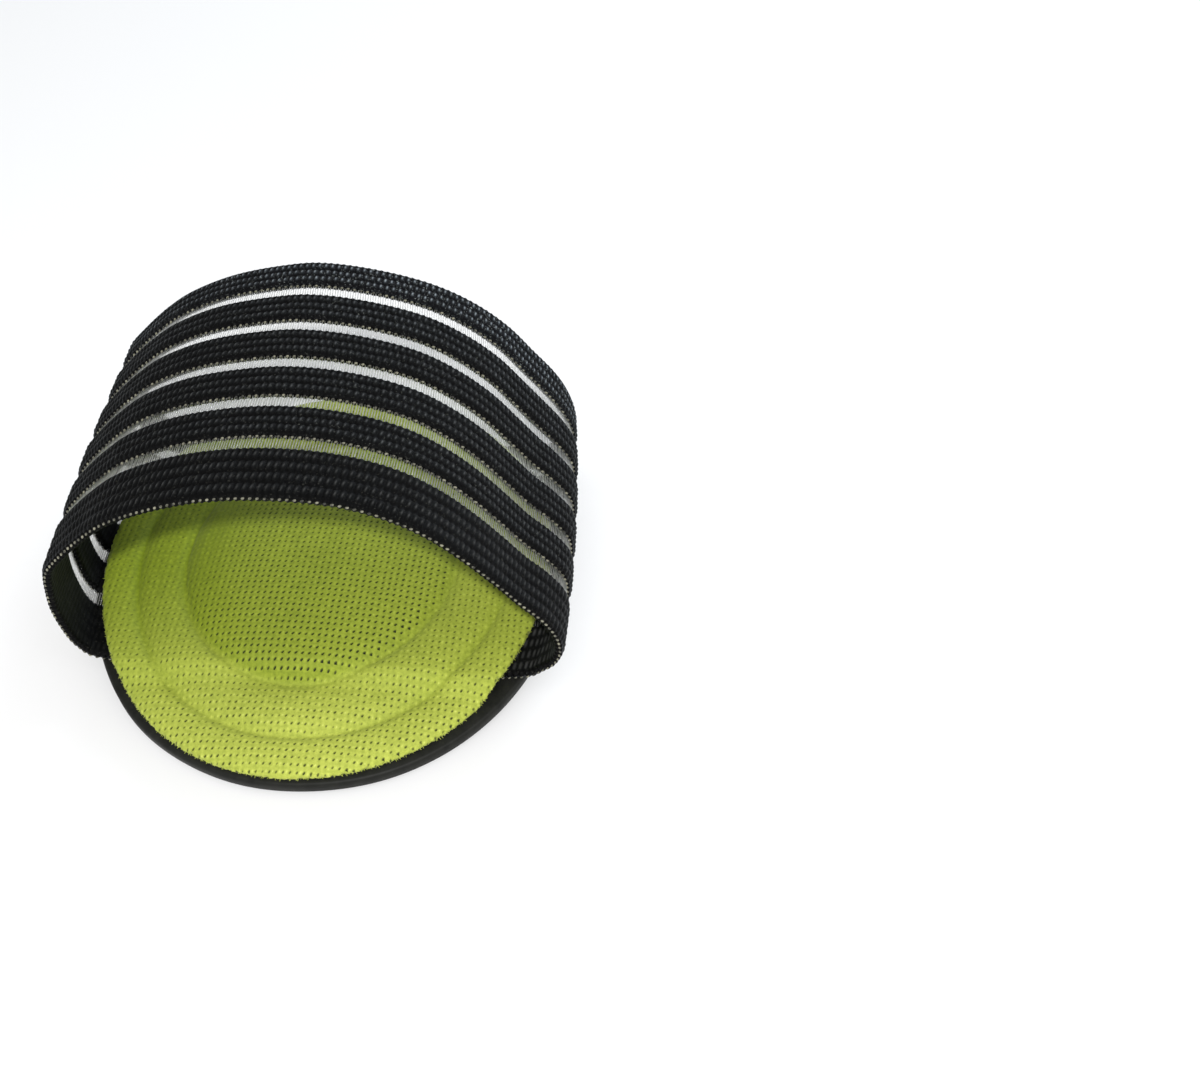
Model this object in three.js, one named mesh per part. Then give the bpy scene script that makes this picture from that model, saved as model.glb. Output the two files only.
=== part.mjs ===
// Arch support sleeve: an oval cushion on a thin sole, worn under the arch of the foot and held there
// by a wide elastic band that loops over the foot.
// Millimetres. +X runs across the foot, +Y along it towards the back of the sleeve, and +Z is up.
// The origin is the middle of the sole's flat underside.

import * as THREE from 'three';

// Driving dimensions

// Air left between pieces that lie against each other
const SEAT_GAP = 0.3;

// Oval sole. Its middle lies flat, and outside flatHalfWidth it curls up to the left and the right.
const SOLE = {
  width: 90.8,
  depth: 95.4,
  thickness: 2.6,
  edgeChamfer: 0.5,
  flatHalfWidth: 25.0,
  curlRadius: 60.0,
};

// Stepped cushion. Heights are measured up from its own underside.
const CUSHION = {
  width: 85.6,
  depth: 94.2,
  offsetX: -0.35,
  // How far the middle of the dome lies from the middle of the rim
  domeShiftX: -3.0,
  domeShiftY: -4.0,
  domeHeight: 8.3,
  edgeHeight: 1.2,
};

// The ovals of the cushion and the sole bulge a little at the back on the left: by a share of their radius,
// most at an angle counted from +X towards +Y
const OVAL_BULGE = 0.06;
const OVAL_BULGE_ANGLE = THREE.MathUtils.degToRad(120);

// Elastic band: a closed loop of ribs joined by sheer strips
const BAND = {
  loopWidth: 90.7,
  loopRise: 46.4,
  offsetX: 0.2,
  frontY: -24.6,
  ribThickness: 1.6,
  ribEdgeTaper: 0.3,
  sheerThickness: 0.5,
  sheerWidth: 2.93,
  rearRibWidth: 6.63,
  middleRibWidth: 6.96,
  frontRibWidth: 10.87,
  middleRibs: 4,
};

// How far outside the band the cushion stays lifted, and how far it then takes to come down onto the sole
const CUSHION_REST = 1.5;
const CUSHION_DRAPE = 5.0;

const LOOP_STEPS = 66;
const OVAL_STEPS = 64;

// Rings that follow the curl, as shares of the distance from the middle to the rim
const SOLE_RINGS = [0.54, 0.66, 0.78, 0.89];
const CUSHION_UNDERSIDE_RINGS = [0.3, 0.5, 0.62, 0.72, 0.82, 0.91, 1];

// Profile of the cushion from its rim to its middle.
// radius: share of the distance from the middle to the rim
// height: share of CUSHION.domeHeight - CUSHION.edgeHeight, above the edge
const CUSHION_PROFILE = [
  { radius: 1.0, height: 0.0 },
  { radius: 0.985, height: 0.09 },
  { radius: 0.95, height: 0.2 },
  { radius: 0.9, height: 0.27 },
  { radius: 0.86, height: 0.27 },
  { radius: 0.835, height: 0.2 },
  { radius: 0.81, height: 0.3 },
  { radius: 0.77, height: 0.42 },
  { radius: 0.7, height: 0.5 },
  { radius: 0.645, height: 0.5 },
  { radius: 0.605, height: 0.42 },
  { radius: 0.575, height: 0.55 },
  { radius: 0.53, height: 0.68 },
  { radius: 0.42, height: 0.83 },
  { radius: 0.2, height: 0.97 },
];

// The free part of the band's loop, seen along the foot, clockwise from low on the left
// rise: share of BAND.loopRise, above the sole
// front, middle, rear: share of half of BAND.loopWidth, at the band's front edge, middle and rear edge
const LOOP_SECTION = [
  { rise: 0.087, front: -0.925, middle: -1.007, rear: -0.947 },
  { rise: 0.134, front: -0.943, middle: -1.018, rear: -0.978 },
  { rise: 0.202, front: -0.952, middle: -1.02, rear: -1 },
  { rise: 0.32, front: -0.954, middle: -1.011, rear: -1.018 },
  { rise: 0.438, front: -0.934, middle: -0.987, rear: -1.004 },
  { rise: 0.545, front: -0.901, middle: -0.949, rear: -0.971 },
  { rise: 0.65, front: -0.811, middle: -0.857, rear: -0.87 },
  { rise: 0.759, front: -0.692, middle: -0.736, rear: -0.743 },
  { rise: 0.836, front: -0.589, middle: -0.631, rear: -0.629 },
  { rise: 0.926, front: -0.391, middle: -0.435, rear: -0.429 },
  { rise: 0.982, front: -0.187, middle: -0.204, rear: -0.209 },
  { rise: 1, front: 0.046, middle: -0.024, rear: -0.064 },
  { rise: 0.978, front: 0.279, middle: 0.198, rear: 0.154 },
  { rise: 0.915, front: 0.448, middle: 0.407, rear: 0.389 },
  { rise: 0.828, front: 0.578, middle: 0.545, rear: 0.556 },
  { rise: 0.716, front: 0.688, middle: 0.666, rear: 0.69 },
  { rise: 0.588, front: 0.796, middle: 0.767, rear: 0.793 },
  { rise: 0.481, front: 0.877, middle: 0.848, rear: 0.877 },
  { rise: 0.395, front: 0.949, middle: 0.927, rear: 0.925 },
  { rise: 0.288, front: 1, middle: 1, rear: 0.958 },
  { rise: 0.192, front: 1.007, middle: 1.011, rear: 0.963 },
  { rise: 0.121, front: 0.978, middle: 1, rear: 0.943 },
  { rise: 0.078, front: 0.932, middle: 0.985, rear: 0.916 },
];

// Where the loop lifts off the sole at the ends of its hidden stretch, in the same shares
const LIFT_OFF = {
  left: { front: -0.897, middle: -0.991, rear: -0.912 },
  right: { front: 0.89, middle: 0.958, rear: 0.881 },
};
const HIDDEN_POINTS = 15;

const COLOURS = {
  sole: 0x1c1d1b,
  mesh: 0x9dbb35,
  rib: 0x17191c,
  sheer: 0xc9ccc4,
};

// Worked-out sizes

const bandWidth =
  BAND.rearRibWidth +
  BAND.frontRibWidth +
  BAND.middleRibs * BAND.middleRibWidth +
  (BAND.middleRibs + 1) * BAND.sheerWidth;
const bandRearY = BAND.frontY + bandWidth;
const bandSeatZ = SOLE.thickness + SEAT_GAP + BAND.ribThickness / 2;
const cushionLift = BAND.ribThickness + SEAT_GAP;

// Rise of the sole at a distance from its middle line, where its sides curl up
function curl(x) {
  const beyond = Math.max(0, Math.abs(x) - SOLE.flatHalfWidth);
  return (beyond * beyond) / (2 * SOLE.curlRadius);
}

// 1 over the band, 0 where the cushion lies on the sole, and smooth between
function overBand(y) {
  const outside = Math.max(0, BAND.frontY - CUSHION_REST - y, y - bandRearY - CUSHION_REST);
  const share = Math.min(1, outside / CUSHION_DRAPE);
  return 1 - share * share * (3 - 2 * share);
}

function surface(positions, triangles) {
  const geometry = new THREE.BufferGeometry();
  geometry.setAttribute('position', new THREE.Float32BufferAttribute(positions, 3));
  geometry.setIndex(triangles);
  geometry.computeVertexNormals();
  return geometry;
}

// Rings of equally many points, joined in turn. Each ring is closed. The first and last rings are
// joined to each other, or else each is closed by a middle point.
function loft(rings, caps) {
  const count = rings[0].length;
  const positions = rings.flat(2);
  const triangles = [];
  const joins = caps ? rings.length - 1 : rings.length;
  for (let i = 0; i < joins; i++) {
    const a = i * count;
    const b = ((i + 1) % rings.length) * count;
    for (let j = 0; j < count; j++) {
      const k = (j + 1) % count;
      triangles.push(a + j, a + k, b + k, a + j, b + k, b + j);
    }
  }
  if (caps) {
    const first = positions.length / 3;
    positions.push(...caps[0], ...caps[1]);
    const lastRing = (rings.length - 1) * count;
    for (let j = 0; j < count; j++) {
      const k = (j + 1) % count;
      triangles.push(first, k, j, first + 1, lastRing + j, lastRing + k);
    }
  }
  return surface(positions, triangles);
}

// One oval ring, with its height worked out at each point
function ovalRing(centreX, centreY, halfWidth, halfDepth, heightAt) {
  return Array.from({ length: OVAL_STEPS }, (_, j) => {
    const angle = (2 * Math.PI * j) / OVAL_STEPS;
    const bulge = 1 + OVAL_BULGE * Math.max(0, Math.cos(angle - OVAL_BULGE_ANGLE)) ** 3;
    const x = centreX + halfWidth * bulge * Math.cos(angle);
    const y = centreY + halfDepth * bulge * Math.sin(angle);
    return [x, y, heightAt(x, y)];
  });
}

function soleGeometry() {
  const ring = (share, inset, z) =>
    ovalRing(0, 0, (SOLE.width / 2) * share - inset, (SOLE.depth / 2) * share - inset, (x) => z + curl(x));
  const underside = SOLE_RINGS.map((share) => ring(share, 0, 0));
  const top = SOLE_RINGS.toReversed().map((share) => ring(share, 0, SOLE.thickness));
  const edge = [
    ring(1, SOLE.edgeChamfer, 0),
    ring(1, 0, SOLE.edgeChamfer),
    ring(1, 0, SOLE.thickness - SOLE.edgeChamfer),
    ring(1, SOLE.edgeChamfer, SOLE.thickness),
  ];
  return loft(
    [...underside, ...edge, ...top],
    [
      [0, 0, 0],
      [0, 0, SOLE.thickness],
    ],
  );
}

function cushionGeometry() {
  const undersideAt = (x, y) => SOLE.thickness + SEAT_GAP + curl(x) + cushionLift * overBand(y);
  const ring = (share, height) =>
    ovalRing(
      CUSHION.offsetX + CUSHION.domeShiftX * (1 - share),
      CUSHION.domeShiftY * (1 - share),
      (CUSHION.width / 2) * share,
      (CUSHION.depth / 2) * share,
      (x, y) => undersideAt(x, y) + height,
    );
  const relief = CUSHION.domeHeight - CUSHION.edgeHeight;
  const underside = CUSHION_UNDERSIDE_RINGS.map((share) => ring(share, 0));
  const top = CUSHION_PROFILE.map(({ radius, height }) => ring(radius, CUSHION.edgeHeight + relief * height));
  const middleX = CUSHION.offsetX + CUSHION.domeShiftX;
  const middleY = CUSHION.domeShiftY;
  const middleZ = undersideAt(middleX, middleY);
  return loft(
    [...underside, ...top],
    [
      [middleX, middleY, middleZ],
      [middleX, middleY, middleZ + CUSHION.domeHeight],
    ],
  );
}

// Place across the foot, at a share of the way from the band's front edge to its rear edge
function sideways({ front, middle, rear }, share) {
  const blend =
    front * (1 - share) * (1 - 2 * share) + middle * 4 * share * (1 - share) + rear * share * (2 * share - 1);
  return BAND.offsetX + (BAND.loopWidth / 2) * blend;
}

// The middle of the band's thickness as a closed curve, at a share of the way from front to rear
function loopCurve(share) {
  const free = LOOP_SECTION.map(
    (row) => new THREE.Vector3(sideways(row, share), 0, bandSeatZ + BAND.loopRise * row.rise),
  );
  const hidden = Array.from({ length: HIDDEN_POINTS }, (_, i) => {
    const along = i / (HIDDEN_POINTS - 1);
    const x = THREE.MathUtils.lerp(sideways(LIFT_OFF.right, share), sideways(LIFT_OFF.left, share), along);
    return new THREE.Vector3(x, 0, bandSeatZ + curl(x));
  });
  return new THREE.CatmullRomCurve3([...free, ...hidden], true, 'centripetal');
}

// Points of the loop with their outward normals, evenly spaced
function loopFrames(y) {
  const curve = loopCurve((y - BAND.frontY) / bandWidth);
  return Array.from({ length: LOOP_STEPS }, (_, i) => {
    const share = i / LOOP_STEPS;
    const point = curve.getPointAt(share);
    const tangent = curve.getTangentAt(share);
    return { point, outX: -tangent.z, outZ: tangent.x };
  });
}

// A closed loop of band whose cross-section is an outline of points { y, out }
function bandGeometry(outline) {
  const lines = outline.map(({ y, out }) => loopFrames(y).map(({ point, outX, outZ }) => [
    point.x + outX * out,
    y,
    point.z + outZ * out,
  ]));
  const rings = Array.from({ length: LOOP_STEPS }, (_, i) => lines.map((line) => line[i]));
  return loft(rings, null);
}

function ribGeometry(frontY, width) {
  const half = BAND.ribThickness / 2;
  const rearY = frontY + width;
  return bandGeometry([
    { y: frontY, out: 0 },
    { y: frontY + BAND.ribEdgeTaper, out: -half },
    { y: rearY - BAND.ribEdgeTaper, out: -half },
    { y: rearY, out: 0 },
    { y: rearY - BAND.ribEdgeTaper, out: half },
    { y: frontY + BAND.ribEdgeTaper, out: half },
  ]);
}

function sheerGeometry(frontY) {
  const half = BAND.sheerThickness / 2;
  const nearY = frontY + SEAT_GAP;
  const farY = frontY + BAND.sheerWidth - SEAT_GAP;
  return bandGeometry([
    { y: nearY, out: -half },
    { y: farY, out: -half },
    { y: farY, out: half },
    { y: nearY, out: half },
  ]);
}

const materials = {
  sole: new THREE.MeshStandardMaterial({ color: COLOURS.sole, roughness: 0.7, metalness: 0 }),
  mesh: new THREE.MeshStandardMaterial({ color: COLOURS.mesh, roughness: 0.9, metalness: 0 }),
  rib: new THREE.MeshStandardMaterial({ color: COLOURS.rib, roughness: 0.85, metalness: 0 }),
  sheer: new THREE.MeshStandardMaterial({
    color: COLOURS.sheer,
    roughness: 0.4,
    metalness: 0,
    transparent: true,
    opacity: 0.35,
  }),
};

function piece(name, geometry, material) {
  const mesh = new THREE.Mesh(geometry, material);
  mesh.name = name;
  return mesh;
}

// Ribs and sheer strips by turns, from the rear of the band to its front
function elasticBand() {
  const band = new THREE.Group();
  const widths = [BAND.rearRibWidth, ...Array(BAND.middleRibs).fill(BAND.middleRibWidth), BAND.frontRibWidth];
  let rearY = bandRearY;
  widths.forEach((width, i) => {
    band.add(piece(`band_rib_${i + 1}`, ribGeometry(rearY - width, width), materials.rib));
    rearY -= width;
    if (i < widths.length - 1) {
      rearY -= BAND.sheerWidth;
      band.add(piece(`sheer_strip_${i + 1}`, sheerGeometry(rearY), materials.sheer));
    }
  });
  return band;
}

const sleeve = new THREE.Group();
sleeve.add(piece('sole_base', soleGeometry(), materials.sole));
sleeve.add(piece('mesh_cushion', cushionGeometry(), materials.mesh));
sleeve.add(elasticBand());

export default sleeve;
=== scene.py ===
# Looks of the arch support sleeve: braided elastic ribs, sheer threads between them, an open knitted
# mesh over the moulded pad, and the foam rubber sole.

import math

import bpy
import numpy as np
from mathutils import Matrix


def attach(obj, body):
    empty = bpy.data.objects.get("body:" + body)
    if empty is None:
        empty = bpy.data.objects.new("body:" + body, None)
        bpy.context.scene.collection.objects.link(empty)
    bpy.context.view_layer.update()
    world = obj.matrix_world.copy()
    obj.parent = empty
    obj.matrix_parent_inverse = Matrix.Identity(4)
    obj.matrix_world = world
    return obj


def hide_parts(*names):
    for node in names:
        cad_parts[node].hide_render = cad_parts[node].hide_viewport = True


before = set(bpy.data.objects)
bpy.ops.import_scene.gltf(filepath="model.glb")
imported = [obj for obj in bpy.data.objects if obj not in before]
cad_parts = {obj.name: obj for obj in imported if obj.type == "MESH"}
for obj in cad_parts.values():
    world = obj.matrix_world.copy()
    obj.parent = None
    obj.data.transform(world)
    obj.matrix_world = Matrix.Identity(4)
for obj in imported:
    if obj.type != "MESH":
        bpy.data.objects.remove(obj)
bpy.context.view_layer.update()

# Sizes are in millimetres, and MM turns them into metres
MM = 0.001

SOLE = {"width": 90.8, "depth": 95.4, "thickness": 2.6, "flat_half": 25.0, "curl_radius": 60.0}

# The pad stays lifted for the length called rest past each edge of the band, and comes down to the
# sole over the length called drape
PAD = {
    "width": 85.6,
    "depth": 94.2,
    "offset_x": -0.35,
    "dome_x": -3.0,
    "dome_y": -4.0,
    "dome_height": 8.3,
    "edge_height": 1.2,
    "rest": 1.5,
    "drape": 5.0,
    "ripple": 0.12,
}

BAND = {
    "loop_width": 90.7,
    "loop_rise": 46.4,
    "offset_x": 0.2,
    "front_y": -24.6,
    "thickness": 1.6,
    "sheer_width": 2.93,
    "rear_rib": 6.63,
    "middle_rib": 6.96,
    "front_rib": 10.87,
    "middle_ribs": 4,
}

SEAT_GAP = 0.3

# The ovals of the pad and the sole bulge a little at the back on the left: share and angle from +X
OVAL_BULGE = 0.06
OVAL_BULGE_ANGLE = math.radians(120)

# The free part of the band's loop, seen along the foot, clockwise from low on the left:
# share of the loop's rise, then shares of half its width at the band's front edge, middle and rear edge
LOOP_SECTION = [
    (0.087, -0.925, -1.007, -0.947),
    (0.134, -0.943, -1.018, -0.978),
    (0.202, -0.952, -1.02, -1.0),
    (0.32, -0.954, -1.011, -1.018),
    (0.438, -0.934, -0.987, -1.004),
    (0.545, -0.901, -0.949, -0.971),
    (0.65, -0.811, -0.857, -0.87),
    (0.759, -0.692, -0.736, -0.743),
    (0.836, -0.589, -0.631, -0.629),
    (0.926, -0.391, -0.435, -0.429),
    (0.982, -0.187, -0.204, -0.209),
    (1.0, 0.046, -0.024, -0.064),
    (0.978, 0.279, 0.198, 0.154),
    (0.915, 0.448, 0.407, 0.389),
    (0.828, 0.578, 0.545, 0.556),
    (0.716, 0.688, 0.666, 0.69),
    (0.588, 0.796, 0.767, 0.793),
    (0.481, 0.877, 0.848, 0.877),
    (0.395, 0.949, 0.927, 0.925),
    (0.288, 1.0, 1.0, 0.958),
    (0.192, 1.007, 1.011, 0.963),
    (0.121, 0.978, 1.0, 0.943),
    (0.078, 0.932, 0.985, 0.916),
]

# Where the hidden stretch between pad and sole ends on each side, as the same three shares, and its points
LIFT_OFF_LEFT = (-0.897, -0.991, -0.912)
LIFT_OFF_RIGHT = (0.89, 0.958, 0.881)
HIDDEN_POINTS = 15

# Table of the loop: rows from the front edge to the rear edge, columns round it, curve steps between two
# knots, and columns to each side from which the outward way is taken
LOOP_ROWS = 41
LOOP_COLS = 1440
KNOT_STEPS = 24
OUTWARD_REACH = 6

# Braid of the ribs: stitches round the loop, mesh steps for a stitch and a row, width of a row, share of a
# stitch by which each row follows the last, and how far the stitches lean
STITCHES_ROUND = 196
STITCH_STEPS = 6
ROW_STEPS = 6
INNER_ROW_STEPS = 4
ROW_WIDTH = 2.5
FEWEST_ROWS = 3
ROW_SHIFT = 0.36
OUTER_LEAN = 0.24
INNER_LEAN = -0.45

# Relief of the ribs: height of the stitches, depth of the grooves below the face, and slow unevenness
OUTER_RELIEF = 0.45
OUTER_SINK = 0.22
INNER_RELIEF = 0.1
RIB_RIPPLE = 0.08

# Edges of the ribs: rounding, its steps, and the lumps where the yarn turns back
EDGE_ROUND = 0.55
EDGE_STEPS = 4
EDGE_LUMP = 0.42
EDGE_SINK = 0.25

# Painted sheen on each rib, from the rear one to the front one, and the part of the turn where it is
# strongest
RIB_SHEEN = (1.0, 0.2, 0.1, 0.1, 0.1, 0.0)
SHEEN_STARTS = (0.2, 0.34)
SHEEN_ENDS = (0.52, 0.62)

# Right-hand stretch of the band, along X, where the painted shading on its inner face is lighter and its
# weave stands out more
INSIDE_RIGHT = (22, 36)

# Pale stitches along the front edge of each rib: length, width and height, how far they stand ahead of the
# edge and off the middle of the band's thickness, and their tilt
EDGE_STITCH = (0.66, 0.46, 0.42)
EDGE_STITCH_AHEAD = 0.02
EDGE_STITCH_LIFT = 0.16
EDGE_STITCH_TILT = math.radians(-28)

# Sheer threads: how many round the loop, radius, reach into the ribs, and how far one strays
THREADS_ROUND = 500
THREAD_RADIUS = 0.12
THREAD_IN_RIB = 0.5
THREAD_STRAY = 0.03

# First numbers of the random draws
THREAD_SEED = 40
PAD_SEED = 7
FIBRE_SEED = 21

# Profile of the pad: share of the way to the rim, and share of the height above the edge
PAD_PROFILE = [
    (0.0, 1.0),
    (0.2, 0.97),
    (0.42, 0.83),
    (0.53, 0.68),
    (0.575, 0.55),
    (0.603, 0.44),
    (0.645, 0.5),
    (0.7, 0.5),
    (0.77, 0.42),
    (0.81, 0.3),
    (0.833, 0.22),
    (0.86, 0.27),
    (0.9, 0.27),
    (0.95, 0.2),
    (0.985, 0.09),
    (1.0, 0.0),
    (1.1, 0.0),
]
PROFILE_SAMPLES = 441
PROFILE_BLUR = 21

# Pressed grooves: share of the way to the rim, depth, half width as a share
GROOVES = [(0.605, 0.3, 0.016), (0.835, 0.26, 0.015)]

# Width, as a multiple of a groove's, over which the mesh is pressed shut beside it
PRESSED_SPREAD = 1.6

# Knitted mesh over the pad: pitch of its holes, mesh steps for one, their depth and the height of the knit
MESH_PITCH_X = 1.19
MESH_PITCH_Y = 1.22
CELL_STEPS = 4
HOLE_DEPTH = 0.6
KNIT_RELIEF = 0.1

# A grid line nearer to a hole than this share of the pitch goes with the hole, and the others close up
HOLE_REACH = 0.26
HOLE_SPREAD = 1.04
LINE_SPREAD = 0.96

# Regions of the pad: shares of the way to the rim, or places along X and Y
DOME_ENDS = (0.575, 0.615)
DOME_SLOPE = (0.2, 0.5)
OUTER_RING = (0.62, 0.78)
FRONT_Y = (-18, -42)
DOME_FRONT_Y = (4, -24)
SIDE_Y = (-30, -4)
DOME_LEFT_X = (-6, -26)
LEFT_X = (-10, -32)
FRONT_LEFT_X = (-14, -34)
DOME_RIGHT_X = (0, 24)
RIGHT_X = (0, 30)

# How open the holes are, and the painted light and shade on the mesh, as amounts added or taken away in those
# regions
OPEN = {
    "ring": 0.38,
    "ring_front": 0.2,
    "ring_right": 0.06,
    "dome": 0.7,
    "dome_front": 0.6,
    "dome_left": 0.55,
    "left_side": 0.25,
    "pressed": 0.7,
}
PAINTED_LIGHT = {
    "ring": 0.47,
    "ring_front": 0.5,
    "ring_left": 0.4,
    "front_left": 0.22,
    "dome": 0.27,
    "dome_left": 0.19,
    "dome_right": 0.06,
    "pressed": 0.08,
}

# Rim of the mesh: where it is cut as a share of the way out, how ragged the cut is, how far out a vertex is
# still drawn in to it, and its height as a share of the pad's edge
RIM_CUT = 0.996
RIM_RAGGED = 0.003
RIM_DRAWN_IN = 0.0105
RIM_HEIGHT = 0.75

# Rings from the rim down and in over the pad's underside: share of the last ring's size, and height
UNDER_RINGS = [
    (1.0, 0.75),
    (0.997, 0.3),
    (0.99, 0.0),
    (0.9, 0.0),
    (0.85, 0.0),
    (0.8, 0.0),
    (0.7, 0.0),
    (0.5, 0.0),
]

# Fibres along the cut edge of the mesh: how many, length, thickness, tip as a share of the thickness, and
# the ranges that each one's place, lean, length, height, droop and painted glint are drawn from
EDGE_FIBRES = 640
FIBRE_LENGTH = 0.42
FIBRE_THICKNESS = 0.13
FIBRE_TIP = 0.2
FIBRE_PLACE = (-0.4, 0.4)
FIBRE_LEAN = (-0.7, 0.7)
FIBRE_STRETCH = (0.4, 1.25)
FIBRE_HEIGHT = (0.25, 1.0)
FIBRE_DROOP = (-0.15, 0.5)
FIBRE_KNIT = (0.4, 0.9)
FIBRE_ROOT = 0.992
# Span of Y over which the fibres' painted light rises towards the front
FIBRE_FRONT_Y = (-10, -34)

# Sole: insets of its faces, share of its radius and height of the edge's rounding, and small waves in its
# outline as share, waves round it and phase
SOLE_SIDES = 240
SOLE_INSETS = (0.006, 0.006, 0.06, 0.07, 0.07, 0.07, 0.07, 0.07, 0.2)
SOLE_ROUND_SHARE = 0.012
SOLE_ROUND_HEIGHT = 0.5
SOLE_WAVES = [(0.0016, 5, 1), (0.0011, 11, 2)]
SOLE_SMOOTH_ANGLE = math.radians(50)

# Floor in metres, and light of the white surroundings
FLOOR_SIZE = 6
FLOOR_DROP = 0.0002
SKY_STRENGTH = 0.58

# Lights: name, place and aim in millimetres, size in metres, power in watts, tint
LIGHTS = [
    ("key_light", (145, -470, 622), (0, 0, 10), 0.05, 4.3, (1, 1, 1)),
    ("back_light", (300, 720, 330), (0, 0, 40), 0.5, 2.6, (0.8, 0.9, 1.0)),
]

# Camera: place in millimetres, degrees below level, and degrees turned to the left of +Y
CAMERA = {"place": (60.1, -148.1, 186.0), "below_level": 49.11, "turned_left": 3.2, "lens": 36, "sensor": 36}

band_width = (
    BAND["rear_rib"]
    + BAND["front_rib"]
    + BAND["middle_ribs"] * BAND["middle_rib"]
    + (BAND["middle_ribs"] + 1) * BAND["sheer_width"]
)
band_rear_y = BAND["front_y"] + band_width
band_seat_z = SOLE["thickness"] + SEAT_GAP + BAND["thickness"] / 2
pad_lift = BAND["thickness"] + SEAT_GAP
dome_middle = (PAD["offset_x"] + PAD["dome_x"], PAD["dome_y"])


# Small helpers


def deselect():
    if bpy.context.mode != "OBJECT":
        bpy.ops.object.mode_set(mode="OBJECT")
    bpy.ops.object.select_all(action="DESELECT")


def pick(obj):
    deselect()
    obj.select_set(True)
    bpy.context.view_layer.objects.active = obj


def edit(obj):
    pick(obj)
    bpy.ops.object.mode_set(mode="EDIT")


def added(name):
    obj = bpy.context.view_layer.objects.active
    obj.name = name
    obj.data.name = name
    return obj


def points(obj):
    flat = np.empty(len(obj.data.vertices) * 3)
    obj.data.vertices.foreach_get("co", flat)
    return flat.reshape(-1, 3)


def place(obj, x, y, z):
    """Puts the vertices at x, y, z in millimetres."""
    obj.data.vertices.foreach_set("co", (np.stack([x, y, z], 1) * MM).ravel())
    obj.data.update()


def mark(obj, name, values):
    """Keeps a number for each vertex, which the materials read."""
    layer = obj.data.attributes.new(name, "FLOAT", "POINT")
    layer.data.foreach_set("value", np.asarray(values, dtype=np.float32))


def merge(obj):
    edit(obj)
    bpy.ops.mesh.select_all(action="SELECT")
    bpy.ops.mesh.remove_doubles(threshold=0.002 * MM)
    bpy.ops.mesh.normals_make_consistent(inside=False)
    bpy.ops.object.mode_set(mode="OBJECT")


def smooth(obj):
    pick(obj)
    bpy.ops.object.shade_smooth()


def smoothstep(low, high, x):
    t = np.clip((x - low) / (high - low), 0, 1)
    return t * t * (3 - 2 * t)


def ripple(x, y, seed):
    """A slow, even unevenness from -1 to 1, the same on every run. Any odd numbers do in it."""
    total = 0
    for k in range(1, 5):
        angle = seed * 1.7 + k * 2.4
        total = total + np.sin((x * math.cos(angle) + y * math.sin(angle)) * 0.9 * k + seed * k * 3.1)
    return total / 4


# Surfaces that the pieces follow


def curl(x):
    """Height of the sole's underside where its sides curl up."""
    beyond = np.maximum(0, np.abs(x) - SOLE["flat_half"])
    return beyond**2 / (2 * SOLE["curl_radius"])


def over_band(y):
    """1 over the band, 0 where the pad lies on the sole, and smooth between."""
    outside = np.maximum(BAND["front_y"] - PAD["rest"] - y, y - band_rear_y - PAD["rest"])
    return 1 - smoothstep(0, PAD["drape"], outside)


def closed_spline(knots, steps):
    """Points on a closed centripetal Catmull-Rom curve."""
    knots = np.array(knots)
    found = []
    for i in range(len(knots)):
        p0, p1, p2, p3 = (knots[(i + k - 1) % len(knots)] for k in range(4))
        t1 = np.linalg.norm(p1 - p0) ** 0.5
        t2 = t1 + np.linalg.norm(p2 - p1) ** 0.5
        t3 = t2 + np.linalg.norm(p3 - p2) ** 0.5
        t = np.linspace(t1, t2, steps, endpoint=False)[:, None]
        a1 = p0 * (t1 - t) / t1 + p1 * t / t1
        a2 = p1 * (t2 - t) / (t2 - t1) + p2 * (t - t1) / (t2 - t1)
        a3 = p2 * (t3 - t) / (t3 - t2) + p3 * (t - t2) / (t3 - t2)
        b1 = a1 * (t2 - t) / t2 + a2 * t / t2
        b2 = a2 * (t3 - t) / (t3 - t1) + a3 * (t - t1) / (t3 - t1)
        found.append(b1 * (t2 - t) / (t2 - t1) + b2 * (t - t1) / (t2 - t1))
    return np.concatenate(found)


def loop_row(share):
    """The middle of the band's thickness at a share of the way from its front edge to its rear edge:
    x, z, outward x and outward z, evenly spaced round the loop, and the loop's length."""
    weights = ((1 - share) * (1 - 2 * share), 4 * share * (1 - share), share * (2 * share - 1))

    def sideways(shares):
        return BAND["offset_x"] + BAND["loop_width"] / 2 * sum(w * s for w, s in zip(weights, shares))

    knots = [(sideways(row[1:]), band_seat_z + BAND["loop_rise"] * row[0]) for row in LOOP_SECTION]
    for x in np.linspace(sideways(LIFT_OFF_RIGHT), sideways(LIFT_OFF_LEFT), HIDDEN_POINTS):
        knots.append((x, band_seat_z + curl(x)))
    line = closed_spline(knots, KNOT_STEPS)
    ahead = np.roll(line, -1, 0) - line
    length = np.concatenate([[0], np.cumsum(np.linalg.norm(ahead, axis=1))])
    closed = np.vstack([line, line[:1]])
    even = np.linspace(0, length[-1], LOOP_COLS, endpoint=False)
    x = np.interp(even, length, closed[:, 0])
    z = np.interp(even, length, closed[:, 1])
    dx = np.roll(x, -OUTWARD_REACH) - np.roll(x, OUTWARD_REACH)
    dz = np.roll(z, -OUTWARD_REACH) - np.roll(z, OUTWARD_REACH)
    size = np.hypot(dx, dz)
    return np.stack([x, z, -dz / size, dx / size], 1), length[-1]


loop_rows = [loop_row(share) for share in np.linspace(0, 1, LOOP_ROWS)]
LOOP = np.array([row for row, _ in loop_rows])
GIRTH = float(np.mean([length for _, length in loop_rows]))


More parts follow.
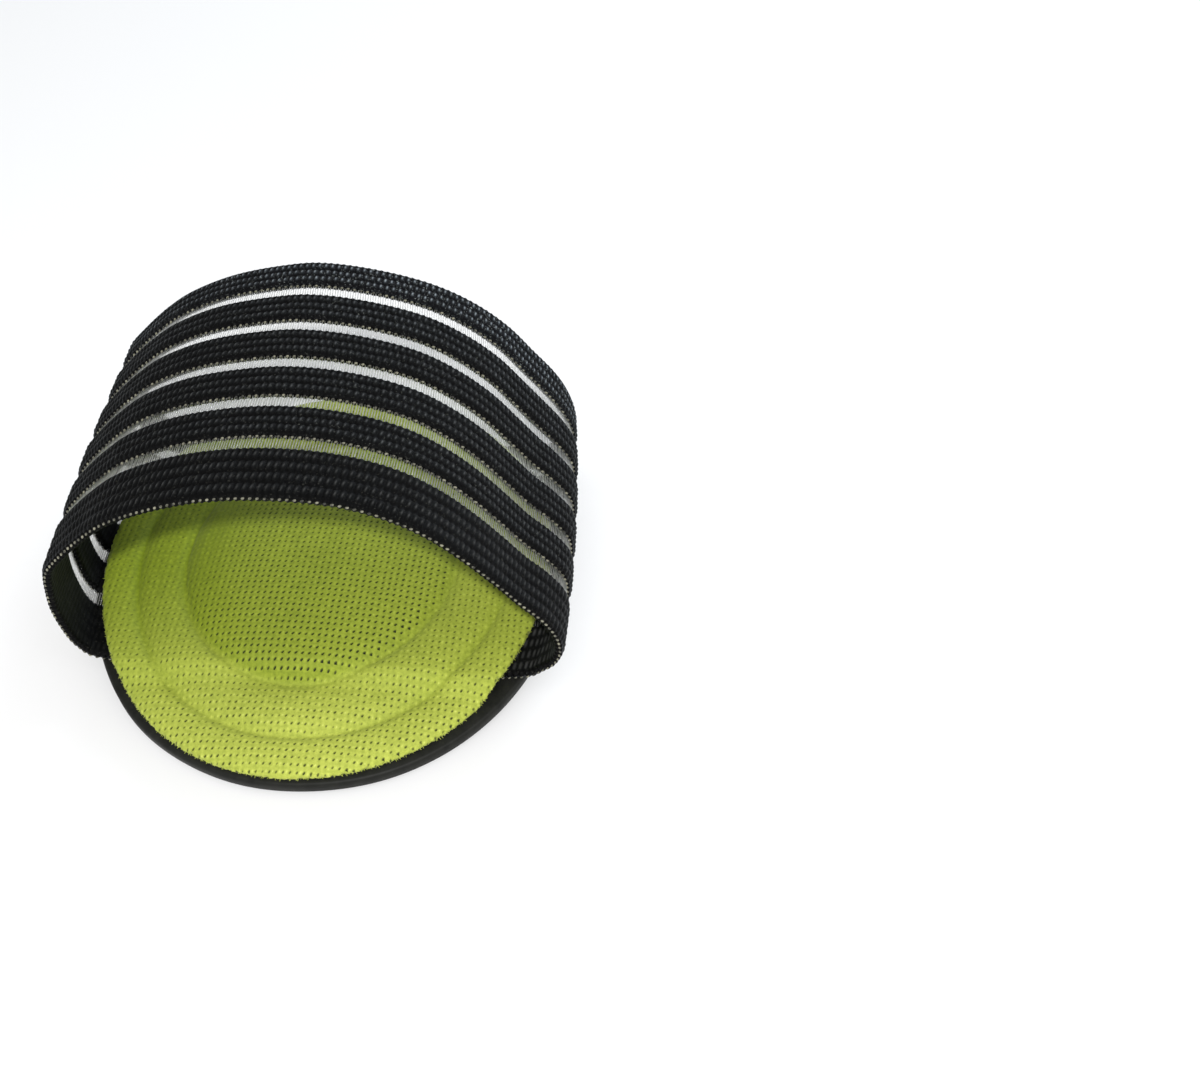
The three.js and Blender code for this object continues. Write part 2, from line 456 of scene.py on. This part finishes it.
def on_band(turn, y, out):
    """Places on the band: turn is the share of the way round, out is outward from its mid surface."""
    row = np.clip((y - BAND["front_y"]) / band_width, 0, 1) * (LOOP_ROWS - 1)
    i = np.minimum(row.astype(int), LOOP_ROWS - 2)
    f = (row - i)[:, None]
    col = (turn % 1) * LOOP_COLS
    j = col.astype(int)
    g = (col - j)[:, None]
    j, k = j % LOOP_COLS, (j + 1) % LOOP_COLS
    near = LOOP[i, j] * (1 - g) + LOOP[i, k] * g
    far = LOOP[i + 1, j] * (1 - g) + LOOP[i + 1, k] * g
    at = near * (1 - f) + far * f
    return at[:, 0] + at[:, 2] * out, y, at[:, 1] + at[:, 3] * out


def oval_bulge(angle):
    return 1 + OVAL_BULGE * np.maximum(0, np.cos(angle - OVAL_BULGE_ANGLE)) ** 3


def pad_share(x, y):
    """Share of the way from the middle of the dome to the pad's rim."""
    a, b = PAD["width"] / 2, PAD["depth"] / 2
    dx, dy = PAD["dome_x"], PAD["dome_y"]
    x0, y0 = x - PAD["offset_x"] - dx, y - dy
    bulge = oval_bulge(np.arctan2(y0 / b, x0 / a))
    x0, y0 = x0 / bulge, y0 / bulge
    qa = dx**2 / a**2 + dy**2 / b**2 - 1
    qb = 2 * (x0 * dx / a**2 + y0 * dy / b**2)
    qc = x0**2 / a**2 + y0**2 / b**2
    return (-qb - np.sqrt(np.maximum(qb**2 - 4 * qa * qc, 0))) / (2 * qa)


def pad_height(share):
    """Height of the pad's top above its underside."""
    fine = np.linspace(0, PAD_PROFILE[-1][0], PROFILE_SAMPLES)
    rough = np.interp(fine, *zip(*PAD_PROFILE))
    kernel = np.hanning(PROFILE_BLUR)
    even = np.convolve(np.pad(rough, PROFILE_BLUR // 2, mode="edge"), kernel / kernel.sum(), mode="valid")
    height = PAD["edge_height"] + (PAD["dome_height"] - PAD["edge_height"]) * np.interp(share, fine, even)
    for at, depth, half in GROOVES:
        height = height - depth * np.exp(-(((share - at) / half) ** 2))
    return height


def pad_underside(x, y):
    return SOLE["thickness"] + SEAT_GAP + curl(x) + pad_lift * over_band(y)


# Materials


def material(name, base, roughness):
    made = bpy.data.materials.new(name)
    made.use_nodes = True
    shader = made.node_tree.nodes["Principled BSDF"]
    shader.inputs["Base Color"].default_value = (*base, 1)
    shader.inputs["Roughness"].default_value = roughness
    return made, made.node_tree, shader


def node(tree, kind, **values):
    made = tree.nodes.new(kind)
    for socket, value in values.items():
        made.inputs[socket].default_value = value
    return made


def ramp(tree, source, stops):
    """Turns a value into a colour: stops are places from 0 to 1 and their colours."""
    made = tree.nodes.new("ShaderNodeValToRGB")
    elements = made.color_ramp.elements
    while len(elements) < len(stops):
        elements.new(0.5)
    for element, (at, colour) in zip(elements, stops):
        element.position = at
        element.color = (*colour, 1)
    tree.links.new(source, made.inputs["Fac"])
    return made.outputs["Color"]


def mix(tree, blend, factor, a, b):
    made = tree.nodes.new("ShaderNodeMix")
    made.data_type = "RGBA"
    made.blend_type = blend
    sockets = {socket.identifier: socket for socket in made.inputs}
    for name, value in (("Factor_Float", factor), ("A_Color", a), ("B_Color", b)):
        if isinstance(value, bpy.types.NodeSocket):
            tree.links.new(value, sockets[name])
        elif isinstance(value, tuple):
            sockets[name].default_value = (*value, 1)
        else:
            sockets[name].default_value = value
    return {socket.identifier: socket for socket in made.outputs}["Result_Color"]


def noise(tree, coords, scale, detail=2.0, roughness=0.5):
    made = node(tree, "ShaderNodeTexNoise", Scale=scale, Detail=detail, Roughness=roughness)
    tree.links.new(coords, made.inputs["Vector"])
    return made.outputs["Fac"]


def bump(tree, shader, source, strength, height):
    """Fine bumps, as high as height in millimetres."""
    made = node(tree, "ShaderNodeBump", Strength=strength, Distance=height * MM)
    tree.links.new(source, made.inputs["Height"])
    tree.links.new(made.outputs["Normal"], shader.inputs["Normal"])


def object_coords(tree):
    return tree.nodes.new("ShaderNodeTexCoord").outputs["Object"]


def attribute(tree, name):
    made = tree.nodes.new("ShaderNodeAttribute")
    made.attribute_name = name
    return made.outputs["Fac"]


def rib_material():
    """Black yarn with painted shade deepest in the grooves and painted highlights on the stitch tips, pale
    flecks of lint, and a painted bluish sheen, strongest on the rear rib.
    """
    made, tree, shader = material("braided_elastic", (0.013, 0.014, 0.016), 0.6)
    coords = object_coords(tree)
    shade_and_glint_stops = [
        (0.22, (0.0003, 0.0003, 0.0004)),
        (0.5, (0.0016, 0.0018, 0.0019)),
        (0.76, (0.0088, 0.0092, 0.009)),
        (1.0, (0.05, 0.0505, 0.0495)),
    ]
    # Painted shade deep in the grooves and painted highlights on the stitch tips
    yarn = ramp(tree, attribute(tree, "relief_shading"), shade_and_glint_stops)
    lint = ramp(tree, noise(tree, coords, 2600, 3, 0.6), [(0.6, (0, 0, 0)), (0.78, (1, 1, 1))])
    flecked = mix(tree, "MIX", lint, yarn, (0.05, 0.05, 0.042))
    patch_stops = [(0.35, (0.6, 0.6, 0.6)), (0.7, (1.25, 1.25, 1.25))]
    patch = ramp(tree, noise(tree, coords, 260, 2), patch_stops)
    shaded = mix(tree, "MULTIPLY", 0.9, flecked, patch)
    # Painted bluish sheen, lightening the rear rib most
    sheen_tint = mix(tree, "MULTIPLY", 1.0, shaded, (4.6, 5.2, 6.0))
    with_sheen = mix(tree, "ADD", attribute(tree, "painted_sheen"), shaded, sheen_tint)
    tree.links.new(with_sheen, shader.inputs["Base Color"])
    shader.inputs["Sheen Weight"].default_value = 0.05
    shader.inputs["Sheen Roughness"].default_value = 0.3
    shader.inputs["Sheen Tint"].default_value = (0.8, 0.9, 1.0, 1)
    shader.inputs["Specular IOR Level"].default_value = 0.09
    bump(tree, shader, noise(tree, coords, 5200, 3, 0.65), 0.55, 0.12)
    return made


def stitch_material():
    made, tree, shader = material("pale_stitch", (0.24, 0.235, 0.185), 0.6)
    coords = object_coords(tree)
    stops = [(0.38, (0.03, 0.03, 0.025)), (0.62, (0.27, 0.26, 0.19))]
    shade = ramp(tree, noise(tree, coords, 900, 2), stops)
    tree.links.new(shade, shader.inputs["Base Color"])
    bump(tree, shader, noise(tree, coords, 5200, 2), 0.4, 0.08)
    return made


def thread_material():
    made, tree, shader = material("sheer_thread", (0.7, 0.7, 0.67), 0.35)
    coords = object_coords(tree)
    stops = [(0.3, (0.58, 0.585, 0.56)), (0.7, (0.84, 0.845, 0.82))]
    shade = ramp(tree, noise(tree, coords, 1400, 2), stops)
    tree.links.new(shade, shader.inputs["Base Color"])
    shader.inputs["Alpha"].default_value = 0.52
    shader.inputs["Transmission Weight"].default_value = 0.78
    shader.inputs["IOR"].default_value = 1.2
    bump(tree, shader, noise(tree, coords, 3000, 2), 0.2, 0.03)
    return made


def mesh_material():
    """Green mesh with painted light and shade that differ by region, painted glints on the knit's beads, and
    dark in the holes.
    """
    made, tree, shader = material("green_mesh", (0.33, 0.45, 0.05), 0.72)
    coords = object_coords(tree)
    mesh_light_stops = [(0.0, (0.218, 0.288, 0.007)), (1.0, (0.49, 0.555, 0.083))]
    # Painted light and shade of the mesh, from dark to light
    mesh_light = ramp(tree, attribute(tree, "painted_light"), mesh_light_stops)
    broad_stops = [(0.3, (0.93, 0.94, 0.9)), (0.7, (1.07, 1.06, 1.1))]
    broad = ramp(tree, noise(tree, coords, 45, 2), broad_stops)
    dyed_and_lit = mix(tree, "MULTIPLY", 1.0, mesh_light, broad)
    shade_and_glint_stops = [(0.0, (0.86, 0.87, 0.8)), (0.45, (1.0, 1.0, 1.0)), (0.95, (1.3, 1.25, 1.8))]
    # Painted glints: the knit's beads are made paler and whiter towards their tops, and a little darker
    # beside the holes
    yarn = ramp(tree, attribute(tree, "knit"), shade_and_glint_stops)
    fabric = mix(tree, "MULTIPLY", 1.0, dyed_and_lit, yarn)
    fine_stops = [(0.3, (0.74, 0.76, 0.7)), (0.68, (1.2, 1.18, 1.3))]
    fine = ramp(tree, noise(tree, coords, 1500, 3, 0.6), fine_stops)
    fibres = mix(tree, "MULTIPLY", 0.75, fabric, fine)
    hole_stops = [(0.05, (0, 0, 0)), (0.2, (0.6, 0.6, 0.6)), (0.5, (1, 1, 1))]
    hole = ramp(tree, attribute(tree, "hole"), hole_stops)
    pierced = mix(tree, "MIX", hole, fibres, (0.012, 0.018, 0.002))
    tree.links.new(pierced, shader.inputs["Base Color"])
    shader.inputs["Sheen Weight"].default_value = 0.06
    shader.inputs["Specular IOR Level"].default_value = 0.28
    bump(tree, shader, noise(tree, coords, 3600, 3, 0.6), 0.45, 0.1)
    return made


def rubber_material():
    made, tree, shader = material("foam_rubber", (0.02, 0.021, 0.019), 0.55)
    coords = object_coords(tree)
    stops = [(0.3, (0.006, 0.0065, 0.005)), (0.7, (0.016, 0.0165, 0.0135))]
    shade = ramp(tree, noise(tree, coords, 420, 4, 0.6), stops)
    tree.links.new(shade, shader.inputs["Base Color"])
    shader.inputs["Specular IOR Level"].default_value = 0.2
    bump(tree, shader, noise(tree, coords, 2400, 3, 0.6), 0.25, 0.06)
    return made


def floor_material():
    made, _, shader = material("pale_floor", (0.93, 0.93, 0.93), 0.9)
    shader.inputs["Specular IOR Level"].default_value = 0.1
    return made


RIB = rib_material()
STITCH = stitch_material()
THREAD = thread_material()
MESH = mesh_material()
RUBBER = rubber_material()


def finish_piece(obj, look, slot, *nodes):
    obj.data.materials.clear()
    obj.data.materials.append(look)
    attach(obj, "root")
    if nodes:
        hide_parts(*nodes)


# Elastic band


def rib_section(width):
    """Cross-section of a rib from its front edge over the outside and back along the inside: place
    across it, height, row phase, and whether it is on the outer face, the inner face or an edge. The
    last is -1 at the front and 1 at the rear."""
    rows = max(FEWEST_ROWS, round(width / ROW_WIDTH))
    outer, inner = rows * ROW_STEPS, rows * INNER_ROW_STEPS
    flat = width / 2 - EDGE_ROUND
    half = BAND["thickness"] / 2
    section = []
    for k in range(outer):
        b = 2 * k / outer - 1
        section.append((b * flat, half, (b + 1) / 2 * rows, 1, 0, 0))
    for k in range(EDGE_STEPS):
        angle = math.pi / 2 - math.pi * k / EDGE_STEPS
        beyond, height = math.cos(angle), half * math.sin(angle)
        section.append((flat + EDGE_ROUND * beyond, height, 0, 0, 0, beyond))
    for k in range(inner):
        b = 1 - 2 * k / inner
        section.append((b * flat, -half, (b + 1) / 2 * rows, 0, 1, 0))
    for k in range(EDGE_STEPS):
        angle = -math.pi / 2 + math.pi * k / EDGE_STEPS
        beyond, height = math.cos(angle), half * math.sin(angle)
        section.append((-flat - EDGE_ROUND * beyond, height, 0, 0, 0, -beyond))
    section.append(section[0])
    return np.array(section)


def braid(turn, rows, lean):
    """Leaf-shaped stitches in rows along the band, 0 in the grooves and 1 on the stitches. The powers
    make a stitch slimmer towards its tip and the groove beside its row narrow."""
    row = np.floor(rows + 1e-6)
    across = rows - row
    along = turn * STITCHES_ROUND + ROW_SHIFT * row - lean * (across - 0.5)
    stitch = np.abs(np.cos(np.pi * along)) ** (1.1 + 0.7 * across)
    return np.sin(np.pi * across) ** 0.7 * (0.04 + 0.96 * stitch)


def make_rib(number, front_y, width):
    section = rib_section(width)
    steps = len(section) - 1
    deselect()
    bpy.ops.mesh.primitive_grid_add(
        x_subdivisions=STITCHES_ROUND * STITCH_STEPS, y_subdivisions=steps, size=2, calc_uvs=True
    )
    obj = added(f"braided_rib_{number}")
    at = points(obj)
    turn = (at[:, 0] + 1) / 2
    k = np.rint((at[:, 1] + 1) / 2 * steps).astype(int)
    across, height, rows, outer, inner, edge = section[k].T
    outside = braid(turn, rows, OUTER_LEAN) * outer
    inside = braid(turn, rows, INNER_LEAN) * inner
    lump = 0.5 + 0.5 * np.cos(2 * np.pi * turn * STITCHES_ROUND)
    out = height - OUTER_SINK * outer + OUTER_RELIEF * outside - INNER_RELIEF * inside
    wander = RIB_RIPPLE * ripple(turn * GIRTH * 0.6, across * 2, number)
    y = front_y + width / 2 + across + edge * (EDGE_LUMP * lump - EDGE_SINK)
    x, y, z = on_band(turn, y, out + wander * outer)
    place(obj, x, y, z)

    # Painted sheen on the outside, and the painted shading as a place on the yarn's ramp from a groove to a
    # tip
    at_edge = 1 - outer - inner
    # Painted sheen: strongest on the rear rib over part of its turn, faint on the middle ribs, none on the
    # front rib
    most = smoothstep(*SHEEN_STARTS, turn) * (1 - smoothstep(*SHEEN_ENDS, turn))
    painted_sheen = RIB_SHEEN[number - 1] * (0.5 + 0.5 * most)
    mark(obj, "painted_sheen", painted_sheen * np.clip(outer + at_edge, 0, 1))
    # Painted shading: dark in the grooves and light on the stitch tips, with the inner face lighter at the
    # right and the edge lumps lighter
    at_right = smoothstep(*INSIDE_RIGHT, x)
    inner_shading = 0.44 + 0.24 * inside + at_right * (0.12 + 0.25 * inside)
    mark(obj, "relief_shading", outside**1.4 + inner * inner_shading + at_edge * (0.2 + 0.35 * lump))
    merge(obj)
    smooth(obj)
    finish_piece(obj, RIB, "elastic_rib", f"band_rib_{number}")


def array_flat(obj, count, pitch):
    """Copies the piece along X, as many times as count says, with the pitch in millimetres."""
    pick(obj)
    bpy.ops.object.transform_apply(location=True, rotation=True, scale=True)
    array = obj.modifiers.new("in_a_row", "ARRAY")
    array.count = count
    array.use_relative_offset = False
    array.use_constant_offset = True
    array.constant_offset_displace = (pitch * MM, 0, 0)
    bpy.ops.object.modifier_apply(modifier=array.name)


def make_edge_stitches(number, front_y):
    length, width, height = EDGE_STITCH
    deselect()
    bpy.ops.mesh.primitive_uv_sphere_add(segments=8, ring_count=6, radius=0.5)
    obj = added(f"edge_stitches_{number}")
    obj.scale = (length * MM, width * MM, height * MM)
    obj.rotation_euler = (0, EDGE_STITCH_TILT, 0)
    obj.location = (0, (front_y - EDGE_STITCH_AHEAD) * MM, EDGE_STITCH_LIFT * MM)
    array_flat(obj, STITCHES_ROUND, GIRTH / STITCHES_ROUND)
    at = points(obj) / MM
    place(obj, *on_band(at[:, 0] / GIRTH, at[:, 1], at[:, 2]))
    smooth(obj)
    finish_piece(obj, STITCH, "elastic_rib")


def make_threads(number, front_y):
    """Fine threads across one gap of the band, with their ends inside the ribs on both sides."""
    deselect()
    span = BAND["sheer_width"] + 2 * THREAD_IN_RIB
    bpy.ops.mesh.primitive_cylinder_add(
        vertices=6, radius=THREAD_RADIUS * MM, depth=span * MM, rotation=(math.pi / 2, 0, 0)
    )
    obj = added(f"sheer_threads_{number}")
    obj.location = (0, (front_y + BAND["sheer_width"] / 2) * MM, 0)
    pitch = GIRTH / THREADS_ROUND
    array_flat(obj, THREADS_ROUND, pitch)
    at = points(obj) / MM
    each = np.floor(at[:, 0] / pitch + 0.5).astype(int) + 1
    draw = np.random.default_rng(THREAD_SEED + number)
    nudge = draw.uniform(-THREAD_STRAY, THREAD_STRAY, THREADS_ROUND + 2)[each]
    lift = draw.uniform(-THREAD_STRAY, THREAD_STRAY, THREADS_ROUND + 2)[each]
    place(obj, *on_band((at[:, 0] + nudge) / GIRTH, at[:, 1], at[:, 2] + lift))
    smooth(obj)
    finish_piece(obj, THREAD, "sheer_web", f"sheer_strip_{number}")


def make_band():
    widths = [BAND["rear_rib"], *[BAND["middle_rib"]] * BAND["middle_ribs"], BAND["front_rib"]]
    rear_y = band_rear_y
    for i, width in enumerate(widths, 1):
        make_rib(i, rear_y - width, width)
        make_edge_stitches(i, rear_y - width)
        rear_y -= width
        if i < len(widths):
            rear_y -= BAND["sheer_width"]
            make_threads(i, rear_y)


# Pad


def knit_line(at, pitch):
    """Draws the lines of an even grid together round each hole, so that a hole is small and crisp."""
    cell = at / pitch
    whole = np.rint(cell)
    part = cell - whole
    far = np.sign(part) * (HOLE_REACH + (np.abs(part) - 1 / CELL_STEPS) * LINE_SPREAD)
    return (whole + np.where(np.abs(part) < HOLE_REACH, part * HOLE_SPREAD, far)) * pitch


def pressed_in(share):
    """1 in the pressed grooves and 0 away from them."""
    return sum(np.exp(-(((share - at) / (half * PRESSED_SPREAD)) ** 2)) for at, _, half in GROOVES)


def holes_and_painted_light(x, y, share):
    """How open the holes are at each place on the pad, and the painted light and shade on the mesh there:
    lighter towards the front and on the dome's right, darker on the dome, its left slope, the left side and
    the pressed grooves.
    """
    on_dome = 1 - smoothstep(*DOME_ENDS, share)
    to_front = smoothstep(*FRONT_Y, y)
    to_left = smoothstep(*DOME_LEFT_X, x) * smoothstep(*DOME_SLOPE, share) * on_dome
    left_side = smoothstep(*LEFT_X, x) * smoothstep(*SIDE_Y, y)
    open_ring = (
        OPEN["ring"]
        + OPEN["ring_front"] * to_front * smoothstep(*OUTER_RING, share)
        + OPEN["ring_right"] * smoothstep(*RIGHT_X, x)
    )
    open_dome = OPEN["dome"] + OPEN["dome_front"] * smoothstep(*DOME_FRONT_Y, y) - OPEN["dome_left"] * to_left
    opened = (open_ring * (1 - on_dome) + open_dome * on_dome) * (1 - OPEN["left_side"] * left_side)
    ring_light = (
        PAINTED_LIGHT["ring"]
        + PAINTED_LIGHT["ring_front"] * to_front
        - PAINTED_LIGHT["ring_left"] * left_side
        - PAINTED_LIGHT["front_left"] * to_front * smoothstep(*FRONT_LEFT_X, x)
    )
    dome_light = PAINTED_LIGHT["dome"] - PAINTED_LIGHT["dome_left"] * to_left + PAINTED_LIGHT["dome_right"] * smoothstep(*DOME_RIGHT_X, x)
    # Painted shade in the pressed grooves
    painted_light = ring_light * (1 - on_dome) + dome_light * on_dome - PAINTED_LIGHT["pressed"] * pressed_in(share)
    return opened, np.clip(painted_light, 0, 1)


def trim_pad(obj, outside):
    """Deletes the vertices past the rim."""
    edit(obj)
    bpy.ops.mesh.select_all(action="DESELECT")
    bpy.ops.object.mode_set(mode="OBJECT")
    obj.data.vertices.foreach_set("select", outside)
    bpy.ops.object.mode_set(mode="EDIT")
    bpy.ops.mesh.delete(type="VERT")
    bpy.ops.object.mode_set(mode="OBJECT")


def extrude_border(obj, inward, height):
    """Takes the open border on to a ring of a share of its size, at a height above the underside."""
    edit(obj)
    bpy.ops.mesh.select_all(action="SELECT")
    bpy.ops.mesh.region_to_loop()
    bpy.ops.mesh.extrude_region_move()
    bpy.ops.object.mode_set(mode="OBJECT")
    picked = np.empty(len(obj.data.vertices), dtype=bool)
    obj.data.vertices.foreach_get("select", picked)
    at = points(obj) / MM
    middle = np.array([PAD["offset_x"], 0])
    at[picked, :2] = middle + (at[picked, :2] - middle) * inward
    at[picked, 2] = pad_underside(at[picked, 0], at[picked, 1]) + height
    place(obj, *at.T)


def close_underside(obj):
    for inward, height in UNDER_RINGS:
        extrude_border(obj, inward, height)
    edit(obj)
    bpy.ops.mesh.select_all(action="SELECT")
    bpy.ops.mesh.region_to_loop()
    bpy.ops.mesh.edge_face_add()
    bpy.ops.mesh.select_all(action="SELECT")
    bpy.ops.mesh.normals_make_consistent(inside=False)
    bpy.ops.object.mode_set(mode="OBJECT")


def make_pad():
    columns = math.ceil(PAD["width"] / MESH_PITCH_X / 2 + 1) * 2
    rows = math.ceil(PAD["depth"] / MESH_PITCH_Y / 2 + 1) * 2
    deselect()
    bpy.ops.mesh.primitive_grid_add(
        x_subdivisions=columns * CELL_STEPS, y_subdivisions=rows * CELL_STEPS, size=2, calc_uvs=True
    )
    obj = added("mesh_pad")
    at = points(obj)
    flat_x = at[:, 0] * columns * MESH_PITCH_X / 2
    flat_y = at[:, 1] * rows * MESH_PITCH_Y / 2
    near_x = np.cos(2 * np.pi * flat_x / MESH_PITCH_X)
    near_y = np.cos(2 * np.pi * flat_y / MESH_PITCH_Y)

    # The knit wanders a little, and each hole has its own size
    x = knit_line(flat_x, MESH_PITCH_X) + 0.1 * ripple(flat_x * 0.12, flat_y * 0.12, 3)
    y = knit_line(flat_y, MESH_PITCH_Y) + 0.12 * ripple(flat_x * 0.1, flat_y * 0.1, 5)
    draw = np.random.default_rng(PAD_SEED)
    size = draw.uniform(0.45, 1.15, (columns + 4, rows + 4))
    i = np.rint(flat_x / MESH_PITCH_X).astype(int) + columns // 2 + 1
    j = np.rint(flat_y / MESH_PITCH_Y).astype(int) + rows // 2 + 1
    share = pad_share(x, y)
    pressed = pressed_in(share)
    opened, painted_light = holes_and_painted_light(x, y, share)
    hole = smoothstep(0.9, 1.0, 0.5 * near_x + 0.5 * near_y)
    hole = hole * (1 - OPEN["pressed"] * pressed) * np.clip(size[i, j] * opened, 0, 1)
    bead = (1 - near_x) / 2 * (0.12 + 0.88 * (1 + near_y) / 2)
    mark(obj, "hole", hole)
    # Painted glints on the knit's beads, stronger on some than on others
    mark(obj, "knit", bead * draw.uniform(0.35, 1.0, len(bead)))
    # Painted light and shade on the mesh
    mark(obj, "painted_light", painted_light)
    z = pad_underside(x, y) + pad_height(share) + PAD["ripple"] * ripple(x * 0.07, y * 0.07, 2)
    z = z + KNIT_RELIEF * bead * (1 - 0.5 * pressed) - HOLE_DEPTH * hole

    # Vertices just past the cut edge are drawn in to it, and the edge is a little ragged across the knit
    edge = RIM_CUT + RIM_RAGGED * (near_x + near_y) / 2 + RIM_RAGGED * ripple(x * 1.3, y * 1.3, 9)
    past = (share > edge) & (share < edge + RIM_DRAWN_IN)
    middle_x, middle_y = dome_middle
    x = np.where(past, middle_x + (x - middle_x) * edge / share, x)
    y = np.where(past, middle_y + (y - middle_y) * edge / share, y)
    z = np.where(past, pad_underside(x, y) + PAD["edge_height"] * RIM_HEIGHT, z)
    place(obj, x, y, z)
    trim_pad(obj, share >= edge + RIM_DRAWN_IN)
    close_underside(obj)
    smooth(obj)
    finish_piece(obj, MESH, "cushion_mesh", "mesh_cushion")


def make_edge_fibres():
    """Short fibres that stand out of the cut edge of the mesh."""
    deselect()
    bpy.ops.mesh.primitive_cone_add(
        vertices=4,
        radius1=FIBRE_THICKNESS * MM / 2,
        radius2=FIBRE_TIP * FIBRE_THICKNESS * MM,
        depth=FIBRE_LENGTH * MM,
    )
    obj = added("cut_edge_fibres")
    array_flat(obj, EDGE_FIBRES, 1)
    at = points(obj) / MM
    each = np.rint(at[:, 0]).astype(int)
    side, up, out = at[:, 0] - each, at[:, 1], at[:, 2] + FIBRE_LENGTH / 2
    draw = np.random.default_rng(FIBRE_SEED)

    def drawn(low, high):
        return draw.uniform(low, high, EDGE_FIBRES)[each]

    # Each fibre's root is found on the rim by stepping along its way out from the dome's middle
    angle = 2 * np.pi * (each + drawn(*FIBRE_PLACE)) / EDGE_FIBRES
    middle_x, middle_y = dome_middle
    reach = np.full(len(angle), PAD["width"] / 2)
    for _ in range(12):
        share = pad_share(middle_x + reach * np.cos(angle), middle_y + reach * np.sin(angle))
        reach = reach * FIBRE_ROOT / share
    lean = angle + drawn(*FIBRE_LEAN)
    out = out * drawn(*FIBRE_STRETCH)
    x = middle_x + reach * np.cos(angle) + out * np.cos(lean) - side * np.sin(lean)
    y = middle_y + reach * np.sin(angle) + out * np.sin(lean) + side * np.cos(lean)
    z = pad_underside(x, y) + drawn(*FIBRE_HEIGHT) + up - drawn(*FIBRE_DROOP) * out
    place(obj, x, y, z)
    mark(obj, "hole", np.zeros(len(x)))
    # Painted glint on the fibres, drawn for each
    mark(obj, "knit", drawn(*FIBRE_KNIT))
    # Painted light on the fibres, lighter towards the front
    mark(obj, "painted_light", 0.6 + 0.4 * smoothstep(*FIBRE_FRONT_Y, y))
    smooth(obj)
    finish_piece(obj, MESH, "cushion_mesh")


# Sole


def make_sole():
    deselect()
    bpy.ops.mesh.primitive_cylinder_add(vertices=SOLE_SIDES, radius=1, depth=2, end_fill_type="NGON")
    obj = added("rubber_sole")
    edit(obj)
    bpy.ops.mesh.select_mode(type="FACE")
    bpy.ops.mesh.select_all(action="DESELECT")
    bpy.ops.object.mode_set(mode="OBJECT")
    for face in obj.data.polygons:
        face.select = abs(face.normal.z) > 0.9
    bpy.ops.object.mode_set(mode="EDIT")
    for step in SOLE_INSETS:
        bpy.ops.mesh.inset(thickness=step, depth=0)
    bpy.ops.mesh.select_all(action="SELECT")
    bpy.ops.object.mode_set(mode="OBJECT")
    at = points(obj)
    radius = np.hypot(at[:, 0], at[:, 1])
    angle = np.arctan2(at[:, 1], at[:, 0])
    side = np.sign(at[:, 2])
    rounding = SOLE_ROUND_HEIGHT * (1 - np.sqrt(np.clip((1 - radius) / SOLE_ROUND_SHARE, 0, 1)))
    wave = 1 + sum(share * np.sin(angle * waves + phase) for share, waves, phase in SOLE_WAVES)
    x = at[:, 0] * SOLE["width"] / 2 * wave * oval_bulge(angle)
    y = at[:, 1] * SOLE["depth"] / 2 * wave * oval_bulge(angle)
    z = np.where(side > 0, SOLE["thickness"] - rounding, rounding) + curl(x)
    place(obj, x, y, z)
    pick(obj)
    bpy.ops.object.shade_smooth_by_angle(angle=SOLE_SMOOTH_ANGLE)
    finish_piece(obj, RUBBER, "sole_rubber", "sole_base")


# Floor, lights and camera


def make_floor():
    deselect()
    bpy.ops.mesh.primitive_plane_add(size=FLOOR_SIZE)
    floor = added("pale_floor")
    floor.location = (0, 0, -FLOOR_DROP)
    floor.data.materials.append(floor_material())


def make_surroundings():
    world = bpy.data.worlds.new("studio")
    bpy.context.scene.world = world
    world.use_nodes = True
    sky = world.node_tree.nodes["Background"]
    sky.inputs["Color"].default_value = (1, 1, 1, 1)
    sky.inputs["Strength"].default_value = SKY_STRENGTH


def make_light(name, place_mm, aim_mm, size, power, tint):
    data = bpy.data.lights.new(name, "AREA")
    data.shape = "DISK"
    data.size = size
    data.energy = power
    data.color = tint
    made = bpy.data.objects.new(name, data)
    bpy.context.scene.collection.objects.link(made)
    start = np.array(place_mm, dtype=float)
    way = np.array(aim_mm, dtype=float) - start
    flat = math.hypot(way[0], way[1])
    made.location = tuple(start * MM)
    made.rotation_euler = (math.atan2(flat, -way[2]), 0, math.atan2(-way[0], way[1]))


def make_camera():
    camera = bpy.data.cameras.new("photo_view")
    camera.lens = CAMERA["lens"]
    camera.sensor_width = CAMERA["sensor"]
    camera.clip_start = 0.01
    camera.clip_end = 20
    made = bpy.data.objects.new("photo_view", camera)
    bpy.context.scene.collection.objects.link(made)
    made.location = tuple(along * MM for along in CAMERA["place"])
    made.rotation_euler = (math.radians(90 - CAMERA["below_level"]), 0, math.radians(CAMERA["turned_left"]))
    bpy.context.scene.camera = made
    bpy.context.scene.view_settings.view_transform = "Standard"


make_sole()
make_pad()
make_edge_fibres()
make_band()
make_floor()
make_surroundings()
for light in LIGHTS:
    make_light(*light)
make_camera()
